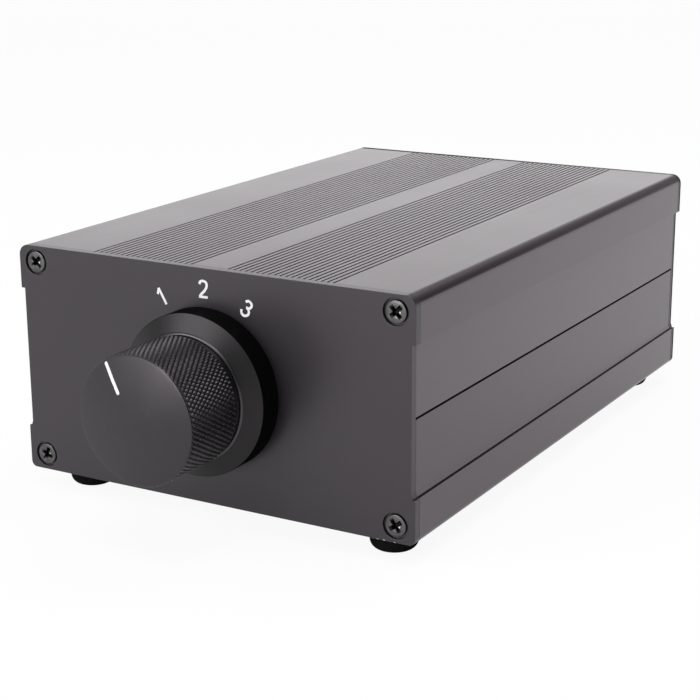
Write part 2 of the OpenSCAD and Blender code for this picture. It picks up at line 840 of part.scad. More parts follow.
module clip_outline(inner_d) {
    difference() {
        ring_2d(clip_d, inner_d + 2 * key_gap);
        translate([-clip_mouth / 2, 0]) square([clip_mouth, clip_d]);
    }
}

module shaft_clips() {
    color("darkgray") {
        at_axis(clip_reach) linear_extrude(clip_t) clip_outline(shaft_d - 2 * clip_groove);
        behind(tail_clip_s, tail_clip_s + clip_t) clip_outline(tail_flats - clip_groove);
    }
}

module stop_washer() {
    color("silver") behind(stop_s, wheel_s) difference() {
        union() {
            circle(d = stop_d);
            clock(stop_angle) translate([-stop_tab_w / 2, 0]) square([stop_tab_w, stop_r + stop_tab_over]);
        }
        tail_outline(key_gap);
    }
}

module stop_pins() {
    color("gray") for (angle = stop_pin_angles) behind(0, wheel_s - axial_gap)
        clock(angle) translate([0, stop_r]) circle(d = stop_pin_d);
}

module detent_wheel() {
    color("ivory") behind(wheel_s, hub_s) difference() {
        circle(d = wheel_d);
        for (i = [0:notch_n - 1]) clock(i * step_angle)
            translate([0, wheel_d / 2 + notch_out]) circle(notch_r);
        tail_outline(key_gap);
    }
}

module detent_spring() {
    color("lightgray") difference() {
        behind(wheel_s + axial_gap, hub_s - axial_gap) {
            translate([-spring_tip, nose_z]) square([spring_tip + spring_len, spring_t]);
            intersection() {
                translate([0, nose_z]) circle(nose_r);
                translate([-nose_r, nose_z - nose_r]) square([2 * nose_r, nose_r + spring_t / 2]);
            }
        }
        at_rivet(nose_z - cut) cylinder(d = rivet_d + 2 * thread_gap, h = spring_t + 2 * cut);
    }
}

module detent_rivet() {
    grip = spring_t + arm_t;
    color("tan") {
        at_rivet(nose_z) cylinder(d = rivet_d, h = grip);
        at_rivet(nose_z - rivet_head_h) cylinder(d = rivet_head_d, h = rivet_head_h);
        at_rivet(nose_z + grip) cylinder(d = rivet_head_d, h = rivet_head_h);
    }
}

module at_ties() {
    for (side = [-1, 1]) translate([side * tie_span / 2, 0]) children();
}

module wafer_spacers() {
    color("silver") behind(frame_t, wafer_s) at_ties() ring_2d(spacer_d, tie_d + 2 * thread_gap);
}

module tie_screws() {
    head_s = wafer_end_s + tie_head_h;
    color("silver") difference() {
        union() {
            behind(0, wafer_end_s + cut) at_ties() circle(d = tie_d);
            behind(wafer_end_s, head_s) at_ties() circle(d = tie_head_d);
        }
        behind(head_s - tie_slot_depth, head_s + cut)
            at_ties() square([tie_slot_w, 2 * tie_head_d], center = true);
    }
}

module wafer() {
    drop = axis_z - board_top;
    color("peru") behind(wafer_s, wafer_end_s) difference() {
        union() {
            intersection() {
                circle(d = wafer_d);
                translate([-wafer_d, -drop]) square([2 * wafer_d, drop + wafer_d]);
            }
            translate([-wafer_foot_w / 2, -drop]) square([wafer_foot_w, drop]);
        }
        circle(d = wafer_bore_d);
        at_ties() circle(d = tie_d + 2 * thread_gap);
    }
}

// Contact clip: a foot on the wafer and a finger that reaches in over the rotor
module contact_clip(angle, inner_r) {
    behind(wafer_s - clip_lift, wafer_s) clock(angle) translate([-clip_w / 2, clip_foot_r])
        square([clip_w, clip_end_r - clip_foot_r]);
    behind(wafer_s - clip_lift, wafer_s - finger_lift) clock(angle) translate([-clip_w / 2, inner_r])
        square([clip_w, clip_end_r - inner_r]);
}

module wafer_clips() {
    common_r = hub_d / 2 + hole_gap + finger_gap;
    color("silver") for (pole = pole_angles) {
        for (angle = throw_angles) contact_clip(pole + angle, throw_r);
        contact_clip(pole + common_contact, common_r);
    }
}

module wafer_pins() {
    top_z = board_top + pin_rise;
    bottom_z = board_z - pin_end;
    color("silver") for (x = pin_x) translate([x - pin_t / 2, pin_y, bottom_z])
        cube([pin_t, pin_t, top_z - bottom_z]);
}

module rotor() {
    color("ivory") difference() {
        union() {
            behind(hub_s, hub_end_s) circle(d = hub_d);
            behind(wafer_s, wafer_end_s) circle(d = rotor_d);
        }
        behind(hub_s - cut, hub_end_s + cut) tail_outline(key_gap);
    }
}

// Blade of one pole: an arc for the common clip and a tooth for the selected one
module blade_outline() {
    reach = wafer_d;
    half = blade_angle / 2;
    edge = [reach * sin(half), reach * cos(half)];
    intersection() {
        ring_2d(blade_ring_d, hub_d + 2 * hole_gap);
        clock(half - first_contact)
            polygon([[0, 0], [-edge.x, edge.y], [-reach, reach], [reach, reach], edge]);
    }
    clock(first_contact) intersection() {
        ring_2d(rotor_d - 2 * finger_gap, hub_d + 2 * hole_gap);
        translate([-blade_tooth_w / 2, 0]) square([blade_tooth_w, rotor_d]);
    }
}

module rotor_blades() {
    color("gold") for (pole = pole_angles) behind(wafer_s - blade_t, wafer_s) clock(pole) blade_outline();
}

// Circuit board and jacks

// Side to which a jack's upper ground strip passes the lower jack, away from its housing's middle
function outward(x) = abs(x) > block_x ? sign(x) : -sign(x);

module pin_holes() {
    for (x = pin_x) translate([x, pin_y + pin_t / 2]) circle(d = pin_hole_d);
    for (x = jack_x) {
        for (y = lead_y) translate([x, y + strip_t / 2]) circle(d = pin_hole_d);
        for (dx = [0, outward(x) * bypass_x])
            translate([x + dx, block_wall_y - strip_t / 2]) circle(d = pin_hole_d);
    }
}

module circuit_board() {
    board_w = cavity_w - 2 * board_gap;
    front_end = front_in + board_gap;
    color("darkgreen") translate([0, 0, board_z]) linear_extrude(board_t) difference() {
        translate([-board_w / 2, front_end]) square([board_w, rear_in - board_gap - front_end]);
        pin_holes();
    }
}

module jack_block(x) {
    top_z = row_z[1] + block_top;
    inner_d = block_d - block_wall;
    columns = [for (jack = jack_x) if (sign(jack) == sign(x)) jack];
    color([0.1, 0.1, 0.1]) difference() {
        union() {
            translate([x - block_w / 2, rear_in - block_d, board_top])
                cube([block_w, block_d, top_z - board_top]);
            for (jack = columns, z = row_z) on_rear(jack, z) translate([0, 0, -panel_t - cut])
                cylinder(d = collar_ring_d, h = panel_t + collar_ring_h + cut);
        }
        translate([x - block_w / 2 + block_skin, rear_in - block_d - cut, board_top - cut])
            cube([block_w - 2 * block_skin, inner_d + cut, top_z - board_top - block_skin + cut]);
        for (jack = columns, z = row_z) on_rear(jack, z) translate([0, 0, -panel_t - block_wall - cut])
            cylinder(d = sleeve_root_d, h = panel_t + block_wall + collar_ring_h + 2 * cut);
        on_rear(x, block_screw_z) translate([0, 0, -panel_t - block_wall - cut])
            cylinder(r = block_screw_r + thread_gap, h = block_wall + panel_t);
    }
}

module jack_block_left() {
    jack_block(-block_x);
}

module jack_block_right() {
    jack_block(block_x);
}

module jack_sleeves() {
    back = -panel_t - block_wall;
    root_r = sleeve_root_d / 2;
    outer_r = sleeve_d / 2;
    inner_r = insert_d / 2;
    color("gold") for (x = jack_x, z = row_z) on_rear(x, z) rotate_extrude()
        polygon([[inner_r, back], [root_r, back], [root_r, collar_ring_h], [outer_r, collar_ring_h],
            [outer_r, jack_reach - sleeve_bevel], [outer_r - sleeve_bevel, jack_reach],
            [inner_r, jack_reach]]);
}

module jack_insert() {
    back = -panel_t - block_wall - strip_t;
    translate([0, 0, back]) linear_extrude(insert_end - back) ring_2d(insert_d, contact_d + 2 * contact_gap);
}

module jack_inserts_white() {
    color("white") for (x = jack_x) on_rear(x, row_z[1]) jack_insert();
}

module jack_inserts_red() {
    color("firebrick") for (x = jack_x) on_rear(x, row_z[0]) jack_insert();
}

// Inner contact: a blind tube that grips the plug's pin, with a strip down to the board
module jack_contact(x, row) {
    back = lead_y[row] - rear_y;
    relief_end = contact_end - socket_depth;
    bottom_z = board_z - pin_end;
    difference() {
        on_rear(x, row_z[row]) translate([0, 0, back]) cylinder(d = contact_d, h = contact_end - back);
        on_rear(x, row_z[row]) {
            translate([0, 0, collar_ring_h]) cylinder(d = pin_bore_d, h = jack_reach);
            translate([0, 0, relief_end]) cylinder(d = relief_d, h = collar_ring_h - relief_end);
        }
    }
    translate([x - strip_lead_w / 2, lead_y[row], bottom_z])
        cube([strip_lead_w, strip_t, row_z[row] - bottom_z]);
}

module jack_contacts() {
    color("goldenrod") for (x = jack_x, row = [0, 1]) jack_contact(x, row);
}

// Ground ring on the back of a sleeve, with a strip down to the board
module ground_tag(x, row) {
    bottom_z = board_z - pin_end;
    offset_x = row == 0 ? 0 : outward(x) * bypass_x;
    arm_w = abs(offset_x) + strip_lead_w / 2;
    along_y(block_wall_y - strip_t, block_wall_y) translate([x, 0]) difference() {
        union() {
            translate([0, row_z[row]]) circle(d = tag_d);
            translate([offset_x - strip_lead_w / 2, bottom_z])
                square([strip_lead_w, row_z[row] - bottom_z]);
            translate([offset_x < 0 ? -arm_w : 0, row_z[row] - strip_lead_w / 2])
                square([arm_w, strip_lead_w]);
        }
        translate([0, row_z[row]]) circle(d = insert_d + 2 * thread_gap);
    }
}

module jack_ground_tags() {
    color("silver") for (x = jack_x, row = [0, 1]) ground_tag(x, row);
}

module jack_block_screws() {
    color([0.15, 0.15, 0.16]) for (x = [-block_x, block_x]) on_rear(x, block_screw_z) difference() {
        union() {
            translate([0, 0, -block_screw_len]) cylinder(r = block_screw_r, h = block_screw_len + cut);
            cylinder(d = block_screw_head_d, h = block_screw_head_h);
        }
        translate([0, 0, block_screw_head_h]) cross_recess();
    }
}

top_shell();
bottom_shell();
front_panel();
rear_panel();
front_panel_screws();
rear_panel_screws();
rubber_feet();
knob();
knob_pointer();
knob_grub_screw();
knob_seat();
switch_frame();
bushing_washer();
bushing_nut();
switch_shaft();
shaft_clips();
stop_washer();
stop_pins();
detent_wheel();
detent_spring();
detent_rivet();
wafer_spacers();
tie_screws();
wafer();
wafer_clips();
wafer_pins();
rotor();
rotor_blades();
circuit_board();
jack_block_left();
jack_block_right();
jack_sleeves();
jack_inserts_white();
jack_inserts_red();
jack_contacts();
jack_ground_tags();
jack_block_screws();
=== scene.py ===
import json
import math

import bmesh
import bpy
from mathutils import Matrix, Vector


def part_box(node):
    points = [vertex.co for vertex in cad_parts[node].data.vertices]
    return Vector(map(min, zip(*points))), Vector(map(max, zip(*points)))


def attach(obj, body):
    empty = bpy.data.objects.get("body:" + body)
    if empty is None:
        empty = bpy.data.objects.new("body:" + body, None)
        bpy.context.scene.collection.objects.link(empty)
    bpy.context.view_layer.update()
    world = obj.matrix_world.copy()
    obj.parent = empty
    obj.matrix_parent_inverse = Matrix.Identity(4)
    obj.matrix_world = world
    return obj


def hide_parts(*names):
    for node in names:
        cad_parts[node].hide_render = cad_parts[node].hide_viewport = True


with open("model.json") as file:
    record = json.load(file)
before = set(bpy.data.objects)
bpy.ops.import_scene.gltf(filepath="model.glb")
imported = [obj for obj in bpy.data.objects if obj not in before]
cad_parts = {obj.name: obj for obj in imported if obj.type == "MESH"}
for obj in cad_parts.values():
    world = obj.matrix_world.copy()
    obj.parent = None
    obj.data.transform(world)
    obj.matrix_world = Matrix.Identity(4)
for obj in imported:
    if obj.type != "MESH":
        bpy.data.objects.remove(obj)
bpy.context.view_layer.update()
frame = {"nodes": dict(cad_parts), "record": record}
nodes = frame["nodes"]
mm = 0.001
panelLow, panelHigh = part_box("front_panel")
screwLow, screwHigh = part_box("front_panel_screws")
frontY = panelLow.y                     # face of the front panel
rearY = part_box("rear_panel")[1].y       # face of the rear panel
axisZ = (panelLow.z + panelHigh.z) / 2  # height of the knob's axis
screwHead = 2.5                         # mm, radius of a panel screw
print("frame loaded:", len(nodes), "nodes")


# camera, from the edges of the case in the photograph
photoView = {"lens": 87.65, "sensor": 36, "near": 0.01,
             "azimuth": 30.092, "elevation": 15.986, "roll": -0.338,
             "place": (209.934, -298.775, 140.437)}  # mm from the middle of the front panel's lower edge


def aimCamera(view):
    azimuth, elevation, roll = (math.radians(view[k]) for k in ("azimuth", "elevation", "roll"))
    back = Vector((math.sin(azimuth) * math.cos(elevation), -math.cos(azimuth) * math.cos(elevation),
                   math.sin(elevation)))
    level = Vector((math.cos(azimuth), math.sin(azimuth), 0))
    right = level * math.cos(roll) + back.cross(level) * math.sin(roll)
    turn = Matrix((right, back.cross(right), back)).transposed()
    x, y, z = view["place"]
    bpy.ops.object.camera_add()
    camera = bpy.context.object
    camera.name = "photoCamera"
    camera.matrix_world = Matrix.Translation((x * mm, frontY + y * mm, panelLow.z + z * mm)) @ turn.to_4x4()
    camera.data.lens = view["lens"]
    camera.data.sensor_width = view["sensor"]
    camera.data.clip_start = view["near"]
    bpy.context.scene.camera = camera


aimCamera(photoView)
print("camera placed")


# shader maths: a wrapped socket that adds Math nodes for its operators
class Wire:
    def __init__(self, tree, socket=None):
        self.tree = tree
        self.socket = socket

    def node(self, kind, settings, inputs, output=0):
        made = self.tree.nodes.new("ShaderNode" + kind)
        for key, value in settings.items():
            setattr(made, key, value)
        for key, value in inputs.items():
            if isinstance(value, Wire):
                self.tree.links.new(value.socket, made.inputs[key])
            else:
                made.inputs[key].default_value = value
        return Wire(self.tree, made.outputs[output])

    def maths(self, operation, *values):
        return self.node("Math", {"operation": operation}, dict(enumerate(values)))

    def __add__(self, other):
        return self.maths("ADD", self, other)

    def __sub__(self, other):
        return self.maths("SUBTRACT", self, other)

    def __rsub__(self, other):
        return self.maths("SUBTRACT", other, self)

    def __mul__(self, other):
        return self.maths("MULTIPLY", self, other)

    def __gt__(self, other):
        return self.maths("GREATER_THAN", self, other)

    def __lt__(self, other):
        return self.maths("LESS_THAN", self, other)

    __radd__ = __add__
    __rmul__ = __mul__

    def feed(self, shader, name):
        self.tree.links.new(self.socket, shader.inputs[name])


def startMaterial(name, fixed):
    material = bpy.data.materials.new(name)
    material.use_nodes = True
    shader = material.node_tree.nodes["Principled BSDF"]
    for key, value in fixed.items():
        shader.inputs[key].default_value = value
    place = Wire(material.node_tree).node("TexCoord", {}, {}, "Object")
    return material, shader, place


def axes(place):
    return [place.node("SeparateXYZ", {}, {"Vector": place}, axis) for axis in "XYZ"]


def noise(place, scale, detail=2.0, stretch=(1, 1, 1)):
    spread = place.node("Mapping", {}, {"Vector": place, "Scale": stretch})
    return place.node("TexNoise", {}, {"Vector": spread, "Scale": scale, "Detail": detail}, "Fac")


def fade(value, start, end, first=0.0, last=1.0, curve="SMOOTHSTEP"):
    limits = {"Value": value, "From Min": start, "From Max": end, "To Min": first, "To Max": last}
    return value.node("MapRange", {"interpolation_type": curve}, limits)


def tint(place, mask, dark, light):
    return place.node("Mix", {"data_type": "RGBA"}, {"Factor": mask, 6: (*dark, 1), 7: (*light, 1)}, 2)


def overlay(place, mask, colour, mark):
    return place.node("Mix", {"data_type": "RGBA"}, {"Factor": mask, 6: colour, 7: (*mark, 1)}, 2)


def bump(place, height, strength, distance):
    relief = {"Height": height, "Strength": strength, "Distance": distance * mm}
    return place.node("Bump", {}, relief, "Normal")


def shades(tone, spread=0.12):
    return [c * (1 - spread) for c in tone], [c * (1 + spread) for c in tone]


# part of a finish turned matt black
def mattOver(material, shader, place, mask, black):
    matt = place.node("BsdfDiffuse", {}, {"Color": (*black, 1)})
    satin = Wire(place.tree, shader.outputs["BSDF"])
    mixed = place.node("MixShader", {}, {0: mask, 1: satin, 2: matt})
    mixed.feed(material.node_tree.nodes["Material Output"], "Surface")


# black anodised finish: grain of the blasted metal, and drawing lines along Y
def anodised(name, look, addMarks):
    gloss = {"IOR": look["gloss"], "Specular Tint": (*look["sheen"], 1)}
    material, shader, place = startMaterial(name, gloss)
    cloud = noise(place, scale=25, detail=3)
    fine = noise(place, scale=5200)
    drawn = noise(place, scale=2600, stretch=(1, 0.004, 1))
    colour = tint(place, cloud, *shades(look["tone"]))
    rough = look["roughness"] - 0.05 + 0.06 * cloud + 0.05 * drawn
    colour, rough = addMarks(material, shader, place, look, colour, rough)
    colour.feed(shader, "Base Color")
    rough.feed(shader, "Roughness")
    relief = fine * look["grain"] + drawn * look["lines"]
    bump(place, relief, strength=0.35, distance=0.004).feed(shader, "Normal")
    return material


# the shells are duller on the roof; on the sides between the joint and the upper band a little lighter grey
# is painted in, as painted light for the soft change of shading under the band
shellLook = {"tone": (0.016, 0.0085, 0.0142), "gloss": 1.75, "sheen": (1, 0.86, 0.97), "roughness": 0.16,
             "lines": 0.8, "grain": 0.7,
             "roof": {"start": 2.2, "end": 0.6, "rougher": 0.14},  # mm below the top of the panel
             "side": {"start": 11.0, "end": 10.0, "joint": 28.0, "tone": (0.036, 0.027, 0.033)}}


def shellMarks(material, shader, place, look, colour, rough):
    height = axes(place)[2]
    roof = look["roof"]
    top = panelHigh.z
    rough = rough + fade(height, top - roof["start"] * mm, top - roof["end"] * mm, 0.0, roof["rougher"])
    # painted light: a lighter grey on the sides between the joint and the upper band
    side = look["side"]
    paintedLightSide = fade(height, top - side["start"] * mm, top - side["end"] * mm, 1.0, 0.0)
    paintedLightSide = paintedLightSide * (height > panelLow.z + side["joint"] * mm)
    return overlay(place, paintedLightSide, colour, side["tone"]), rough


# the panels have specks of dust, bare metal at the lower right corner in front, and a matt black band on the
# rear panel's rim next to its back face, painted shade for the dark line where it meets the shell
panelLook = {"tone": (0.014, 0.012, 0.0145), "gloss": 1.58, "sheen": (1, 0.93, 0.99), "roughness": 0.32,
             "lines": 0.0, "grain": 1.0,
             "dust": {"scale": 120.0, "size": 0.015, "share": 0.05, "tone": (0.35, 0.35, 0.35)},
             "wearAndGlint": {"scale": 900, "height": 1.2, "drop": 0.6, "start": 11.0, "end": 3.2,
                      "tone": (0.75, 0.75, 0.75)},
             "edge": {"start": 0.3, "left": 1.9, "right": 1.0, "clear": 0.02, "share": 0.85,
                      "tone": (0.012, 0.012, 0.012)}}


def panelMarks(material, shader, place, look, colour, rough):
    across, deep, height = axes(place)
    dust = look["dust"]
    cells = {"Vector": place, "Scale": dust["scale"]}
    near = place.node("TexVoronoi", {}, cells, "Distance")
    pick = place.node("SeparateColor", {}, {"Color": place.node("TexVoronoi", {}, cells, "Color")}, 0)
    speck = (near < dust["size"]) * (pick > 1 - dust["share"])
    wearAndGlint = look["wearAndGlint"]
    scuffed = noise(place, wearAndGlint["scale"]) * wearAndGlint["height"] * mm + (panelLow.z - wearAndGlint["drop"] * mm)
    corner = (across > panelHigh.x - wearAndGlint["start"] * mm) * (across < panelHigh.x - wearAndGlint["end"] * mm)
    worn = (height < scuffed) * corner
    worn.feed(shader, "Metallic")
    # painted shade: a matt black band on the rear panel's rim, broader at the left
    edge = look["edge"]
    breadth = fade(across, edge["start"] * panelLow.x, panelHigh.x,
                   edge["left"] * mm, edge["right"] * mm, "LINEAR")
    paintedShadeEdge = (deep > rearY - breadth) * (deep < rearY - edge["clear"] * mm)
    mattOver(material, shader, place, paintedShadeEdge * edge["share"], edge["tone"])
    colour = overlay(place, speck, colour, dust["tone"])
    return overlay(place, worn, colour, wearAndGlint["tone"]), rough


# turned black metal: fine rings left by the tool round the knob's axis
# the seat has a polished lip and a matt outer wall
knobLook = {"tone": (0.009, 0.008, 0.0093), "gloss": 1.53, "sheen": (1, 0.93, 0.99),
            "roughness": 0.26, "rings": 0.6}
seatLook = {"tone": (0.004, 0.004, 0.004), "gloss": 1.4, "sheen": (1, 0.93, 0.99),
            "roughness": 0.35, "rings": 0.05,
            "lip": {"radius": 14.72, "reach": 8.06, "tone": (0.08, 0.077, 0.08)},
            "wall": {"radius": 18.6, "share": 0.93, "tone": (0.003, 0.003, 0.003)}}


def turnedBlack(name, look):
    gloss = {"IOR": look["gloss"], "Specular Tint": (*look["sheen"], 1)}
    material, shader, place = startMaterial(name, gloss)
    axis = place.node("Mapping", {}, {"Vector": place, "Location": (0, 0, -axisZ), "Scale": (1, 0, 1)})
    reach = place.node("VectorMath", {"operation": "LENGTH"}, {0: axis}, "Value")
    ringNoise = {"W": reach, "Scale": 60000.0, "Detail": 0.0}
    rings = place.node("TexNoise", {"noise_dimensions": "1D"}, ringNoise, "Fac")
    cloud = noise(place, scale=60, detail=3)
    fine = noise(place, scale=6000)
    colour = tint(place, cloud, *shades(look["tone"]))
    if "lip" in look:
        lip = look["lip"]
        polished = (axes(place)[1] < frontY - lip["reach"] * mm) * (reach < lip["radius"] * mm)
        polished.feed(shader, "Metallic")
        colour = overlay(place, polished, colour, lip["tone"])
    if "wall" in look:
        wall = look["wall"]
        mattOver(material, shader, place, (reach > wall["radius"] * mm) * wall["share"], wall["tone"])
    colour.feed(shader, "Base Color")
    (look["roughness"] - 0.03 + 0.05 * cloud + 0.02 * rings).feed(shader, "Roughness")
    relief = fine * 0.1 + rings * look["rings"]
    bump(place, relief, strength=1.0, distance=0.01).feed(shader, "Normal")
    return material


# plated or bare metal with a faint brushed streak
def platedMetal(name, dark, light, roughness, streak=(1, 1, 1), addMarks=None):
    material, shader, place = startMaterial(name, {"Metallic": 1.0})
    cloud = noise(place, scale=400, detail=3)
    brushed = noise(place, scale=4000, stretch=streak)
    colour = tint(place, cloud, dark, light)
    if addMarks:
        colour = addMarks(place, colour)
    colour.feed(shader, "Base Color")
    (roughness - 0.06 + 0.12 * brushed).feed(shader, "Roughness")
    bump(place, brushed, strength=0.2, distance=0.004).feed(shader, "Normal")
    return material


# each panel screw has a painted glint, a bright spot beside its cross, and painted shade, near black, deep
# in the cross
screwLook = {"dark": (0.05, 0.05, 0.051), "light": (0.17, 0.166, 0.166), "roughness": 0.32,
             "right": 0.76, "up": -0.05, "size": 0.42, "wearAndGlint": (0.8, 0.8, 0.8),  # mm from a screw's middle
             "paintedShadeDepth": 0.55, "paintedShade": (0.012, 0.012, 0.012)}


def screwMarks(place, colour):
    across, deep, height = axes(place)
    middle = (screwLow + screwHigh) / 2
    spread = screwHigh - middle
    aside = across.maths("ABSOLUTE", across - screwLook["right"] * mm)
    aside = aside - (spread.x - screwHead * mm)
    above = height.maths("ABSOLUTE", height - (middle.z + screwLook["up"] * mm))
    above = above - (spread.z - screwHead * mm)
    # painted glint: a bright spot on the same side of every cross
    paintedGlintSpot = (aside * aside + above * above) < (screwLook["size"] * mm) ** 2
    # painted shade: near black deeper than this inside the cross
    paintedShadeDepth = screwLook["paintedShadeDepth"] * mm
    inside = (deep > frontY + paintedShadeDepth) * (deep < rearY - paintedShadeDepth)
    return overlay(place, inside, overlay(place, paintedGlintSpot, colour, screwLook["wearAndGlint"]), screwLook["paintedShade"])


# moulded plastic, rubber, laminate or paint
def moulded(name, dark, light, roughness, scale, depth, gloss=1.5):
    material, shader, place = startMaterial(name, {"IOR": gloss})
    cloud = noise(place, scale, detail=3)
    pores = noise(place, scale * 12)
    tint(place, cloud, dark, light).feed(shader, "Base Color")
    (roughness - 0.05 + 0.1 * pores).feed(shader, "Roughness")
    bump(place, pores, strength=0.4, distance=depth).feed(shader, "Normal")
    return material


# plated: dark and light tones, roughness, streak; moulded: tones, roughness, scale and depth of grain, gloss
finishes = {
    "black_anodised": anodised("shellAnodised", shellLook, shellMarks),
    "panel_black": anodised("panelAnodised", panelLook, panelMarks),
    "knob_black": turnedBlack("knobAnodised", knobLook),
    "seat_black": turnedBlack("seatSatinBlack", seatLook),
    "black_steel": platedMetal("screwDarkPlate", screwLook["dark"], screwLook["light"],
                               screwLook["roughness"], addMarks=screwMarks),
    "foot_rubber": moulded("footRubber", (0.007, 0.007, 0.007), (0.012, 0.012, 0.012),
                           0.6, 500, 0.02, 1.02),
    "white_paint": moulded("whiteInk", (0.74, 0.74, 0.75), (0.8, 0.8, 0.8), 0.5, 900, 0.004),
    "zinc_plated": platedMetal("zincPlate", (0.55, 0.55, 0.53), (0.66, 0.66, 0.66), 0.34, (1, 0.05, 1)),
    "shaft_aluminium": platedMetal("shaftAluminium", (0.7, 0.7, 0.71), (0.8, 0.8, 0.81), 0.3, (1, 0.05, 1)),
    "spring_steel": platedMetal("springSteel", (0.42, 0.42, 0.43), (0.55, 0.55, 0.56), 0.3, (0.05, 1, 1)),
    "ivory_plastic": moulded("ivoryAcetal", (0.72, 0.67, 0.55), (0.8, 0.76, 0.65), 0.45, 300, 0.006),
    "wafer_laminate": moulded("waferPhenolic", (0.36, 0.2, 0.09), (0.5, 0.31, 0.16), 0.5, 700, 0.006),
    "board_laminate": moulded("boardSolderMask", (0.02, 0.13, 0.055), (0.035, 0.18, 0.08),
                              0.35, 250, 0.004),
    "silver_contacts": platedMetal("silverPlate", (0.66, 0.65, 0.61), (0.8, 0.79, 0.76), 0.25),
    "jack_plastic": moulded("jackHousing", (0.012, 0.012, 0.012), (0.022, 0.022, 0.022), 0.45, 500, 0.008),
    "gold_plated": platedMetal("goldPlate", (0.78, 0.53, 0.2), (0.9, 0.66, 0.3), 0.2, (1, 0.05, 1)),
    "insert_white": moulded("whiteInsert", (0.76, 0.76, 0.73), (0.84, 0.84, 0.81), 0.4, 500, 0.006),
    "insert_red": moulded("redInsert", (0.42, 0.015, 0.015), (0.56, 0.03, 0.03), 0.4, 500, 0.006),
}
for part in frame["record"]["subparts"]:
    cadMesh = nodes[part["node"]].data
    cadMesh.materials.clear()
    cadMesh.materials.append(finishes[part["material_slot"]])
print("finishes made:", len(finishes))


# modelling helpers
weldGap = 0.0005 * mm
touchGap = 0.002 * mm
cutGap = 0.0001 * mm
flatAngle = 0.4  # degrees between faces that count as one


def clearSelection():
    if bpy.context.mode != "OBJECT":
        bpy.ops.object.mode_set(mode="OBJECT")
    bpy.ops.object.select_all(action="DESELECT")


def grab(piece):
    clearSelection()
    piece.select_set(True)
    bpy.context.view_layer.objects.active = piece


def editAll(piece):
    grab(piece)
    bpy.ops.object.mode_set(mode="EDIT")
    bpy.ops.mesh.select_mode(type="VERT")
    bpy.ops.mesh.select_all(action="SELECT")


def selectVerts(piece, wanted):
    editAll(piece)
    bpy.ops.mesh.select_all(action="DESELECT")
    mesh = bmesh.from_edit_mesh(piece.data)
    for vert in mesh.verts:
        vert.select_set(wanted(vert.co))
    mesh.select_flush(True)
    bmesh.update_edit_mesh(piece.data)


def applyModifier(piece, kind, **settings):
    grab(piece)
    modifier = piece.modifiers.new(kind.title(), kind)
    for key, value in settings.items():
        setattr(modifier, key, value)
    bpy.ops.object.modifier_apply(modifier=modifier.name)


def softenEdges(piece, width, segments, angle=30):
    applyModifier(piece, "BEVEL", width=width * mm, segments=segments, limit_method="ANGLE",
                  angle_limit=math.radians(angle), miter_outer="MITER_ARC")


def settle(piece, place=None):
    grab(piece)
    if place is not None:
        piece.matrix_world = place
    bpy.ops.object.transform_apply(location=True, rotation=True, scale=True)


def finishPiece(piece, slot, body="chassis", stands=(), smooth=30):
    grab(piece)
    bpy.ops.object.shade_smooth_by_angle(angle=math.radians(smooth))
    applyModifier(piece, "WEIGHTED_NORMAL", keep_sharp=True, weight=50)
    piece.data.materials.clear()
    piece.data.materials.append(finishes[slot])
    if stands:
        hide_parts(*stands)
    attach(piece, body)


def nodeCopy(node, name):
    piece = bpy.data.objects.new(name, nodes[node].data.copy())
    bpy.context.scene.collection.objects.link(piece)
    editAll(piece)
    bpy.ops.mesh.customdata_custom_splitnormals_clear()
    bpy.ops.mesh.remove_doubles(threshold=weldGap)
    bpy.ops.mesh.dissolve_limited(angle_limit=math.radians(flatAngle))
    clearSelection()
    return piece


def ownCopy(piece, name):
    copy = piece.copy()
    copy.data = piece.data.copy()
    copy.name = copy.data.name = name
    bpy.context.scene.collection.objects.link(copy)
    return copy


def joinPieces(pieces, name):
    clearSelection()
    for piece in pieces:
        piece.select_set(True)
    bpy.context.view_layer.objects.active = pieces[0]
    bpy.ops.object.join()
    pieces[0].name = pieces[0].data.name = name
    return pieces[0]


def combine(piece, other, operation):
    applyModifier(piece, "BOOLEAN", operation=operation, object=other, solver="EXACT")


def cutAway(piece, cutter):
    combine(piece, cutter, "DIFFERENCE")
    bpy.data.objects.remove(cutter)


# turned pieces stand on the local Z axis: a circle is extruded and scaled along the points of a profile
def growRing(profile):
    for (radius, reach), (newRadius, newReach) in zip(profile, profile[1:]):
        bpy.ops.mesh.extrude_region_move(TRANSFORM_OT_translate={"value": (0, 0, (newReach - reach) * mm)})
        ratio = newRadius / radius
        bpy.ops.transform.resize(value=(ratio, ratio, 1), center_override=(0, 0, newReach * mm))


def turned(name, profile, sides, solid=True):
    clearSelection()
    radius, reach = profile[0]
    bpy.ops.mesh.primitive_circle_add(vertices=sides, radius=radius * mm, location=(0, 0, reach * mm),
                                      fill_type="NGON" if solid else "NOTHING")
    piece = bpy.context.object
    piece.name = piece.data.name = name
    settle(piece)
    editAll(piece)
    growRing(profile)
    bpy.ops.mesh.select_all(action="SELECT")
    bpy.ops.mesh.remove_doubles(threshold=weldGap)
    bpy.ops.mesh.normals_make_consistent(inside=False)
    clearSelection()
    return piece


def roundedCorner(radius, reach, size, start, end, steps):
    turns = [math.radians(start + (end - start) * i / steps) for i in range(steps + 1)]
    return [(radius + size * math.cos(t), reach + size * math.sin(t)) for t in turns]


def spun(degrees, axis="Z"):
    return Matrix.Rotation(math.radians(degrees), 4, axis)


def onFront(x, z):
    return Matrix.Translation((x, frontY, z)) @ spun(90, "X")


def onRear(x, z):
    return Matrix.Translation((x, rearY, z)) @ spun(-90, "X")


